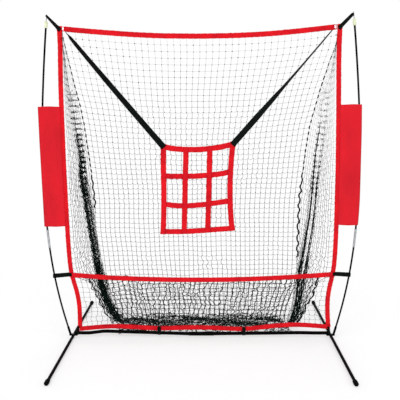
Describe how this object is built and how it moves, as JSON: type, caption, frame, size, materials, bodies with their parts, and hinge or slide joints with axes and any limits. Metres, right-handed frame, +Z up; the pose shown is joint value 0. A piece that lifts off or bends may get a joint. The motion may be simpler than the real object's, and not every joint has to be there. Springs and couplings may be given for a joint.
{
  "type": "pitching target net",
  "caption": "Free-standing bowed frame that holds a bag net with a lower lip panel and a hanging webbing grid target for pitching practice.",
  "frame": {"origin": "centre of the footprint on the floor, in the plane of the poles and the net's mouth", "axes": "+X along the crossbar, +Y from the pitcher towards the back of the bag, +Z up"},
  "size_m": [2.1412, 1.176, 2.2078],
  "materials": {
    "black_frame": "satin powder coat",
    "foot_rubber": "matte",
    "zinc_steel": "zinc plated",
    "black_fibreglass": "satin",
    "ferrule_steel": "polished sleeve",
    "cream_plastic": "matte",
    "pin_steel": "drawn wire",
    "ring_steel": "polished",
    "red_webbing": "woven tape",
    "red_cloth": "woven polyester",
    "black_webbing": "woven tape",
    "black_netting": "knotted twine"
  },
  "bodies": {
    "frame": {"back_net": "black_netting", "bar_straps": "black_webbing", "bottom_border": "red_webbing", "corner_straps": "black_webbing", "crossbar_sleeve": "black_frame", "floor_net": "black_netting", "hub_plates": "black_frame", "left_banner": "red_cloth", "left_border": "red_webbing", "left_crossbar": "black_frame", "left_ferrule": "ferrule_steel", "left_lower_pole": "black_fibreglass", "left_side_net": "black_netting", "left_tip_pin": "pin_steel", "left_top_strap": "black_webbing", "left_upper_pole": "black_fibreglass", "lip_net": "black_netting", "middle_band": "red_webbing", "middle_straps": "black_webbing", "pole_sockets": "black_frame", "right_banner": "red_cloth", "right_border": "red_webbing", "right_crossbar": "black_frame", "right_ferrule": "ferrule_steel", "right_lower_pole": "black_fibreglass", "right_side_net": "black_netting", "right_tip_pin": "pin_steel", "right_top_strap": "black_webbing", "right_upper_pole": "black_fibreglass", "swivel_bolts": "zinc_steel", "swivel_nuts": "zinc_steel", "swivel_washers": "zinc_steel", "tip_caps": "cream_plastic", "top_border": "red_webbing"},
    "left_leg": {"left_leg": "black_frame", "left_feet": "foot_rubber"},
    "right_leg": {"right_leg": "black_frame", "right_feet": "foot_rubber"},
    "target": {"left_target_strap": "black_webbing", "right_target_strap": "black_webbing", "target_level_bottom": "red_webbing", "target_level_lower": "red_webbing", "target_level_top": "red_webbing", "target_level_upper": "red_webbing", "target_rings": "ring_steel", "target_upright_left": "red_webbing", "target_upright_mid_left": "red_webbing", "target_upright_mid_right": "red_webbing", "target_upright_right": "red_webbing"}
  },
  "joints": [
    {"name": "left_leg_swivel", "type": "hinge", "parent": "frame", "child": "left_leg", "pos_m": [-0.929, 0, 0.014], "axis": [0, 0, 1], "range_deg": [0, 78]},
    {"name": "right_leg_swivel", "type": "hinge", "parent": "frame", "child": "right_leg", "pos_m": [0.929, 0, 0.014], "axis": [0, 0, -1], "range_deg": [0, 78]},
    {"name": "target_swing", "type": "hinge", "parent": "frame", "child": "target", "pos_m": [0, 0, 2.1338], "axis": [1, 0, 0], "range_deg": [-15, 7]}
  ]
}
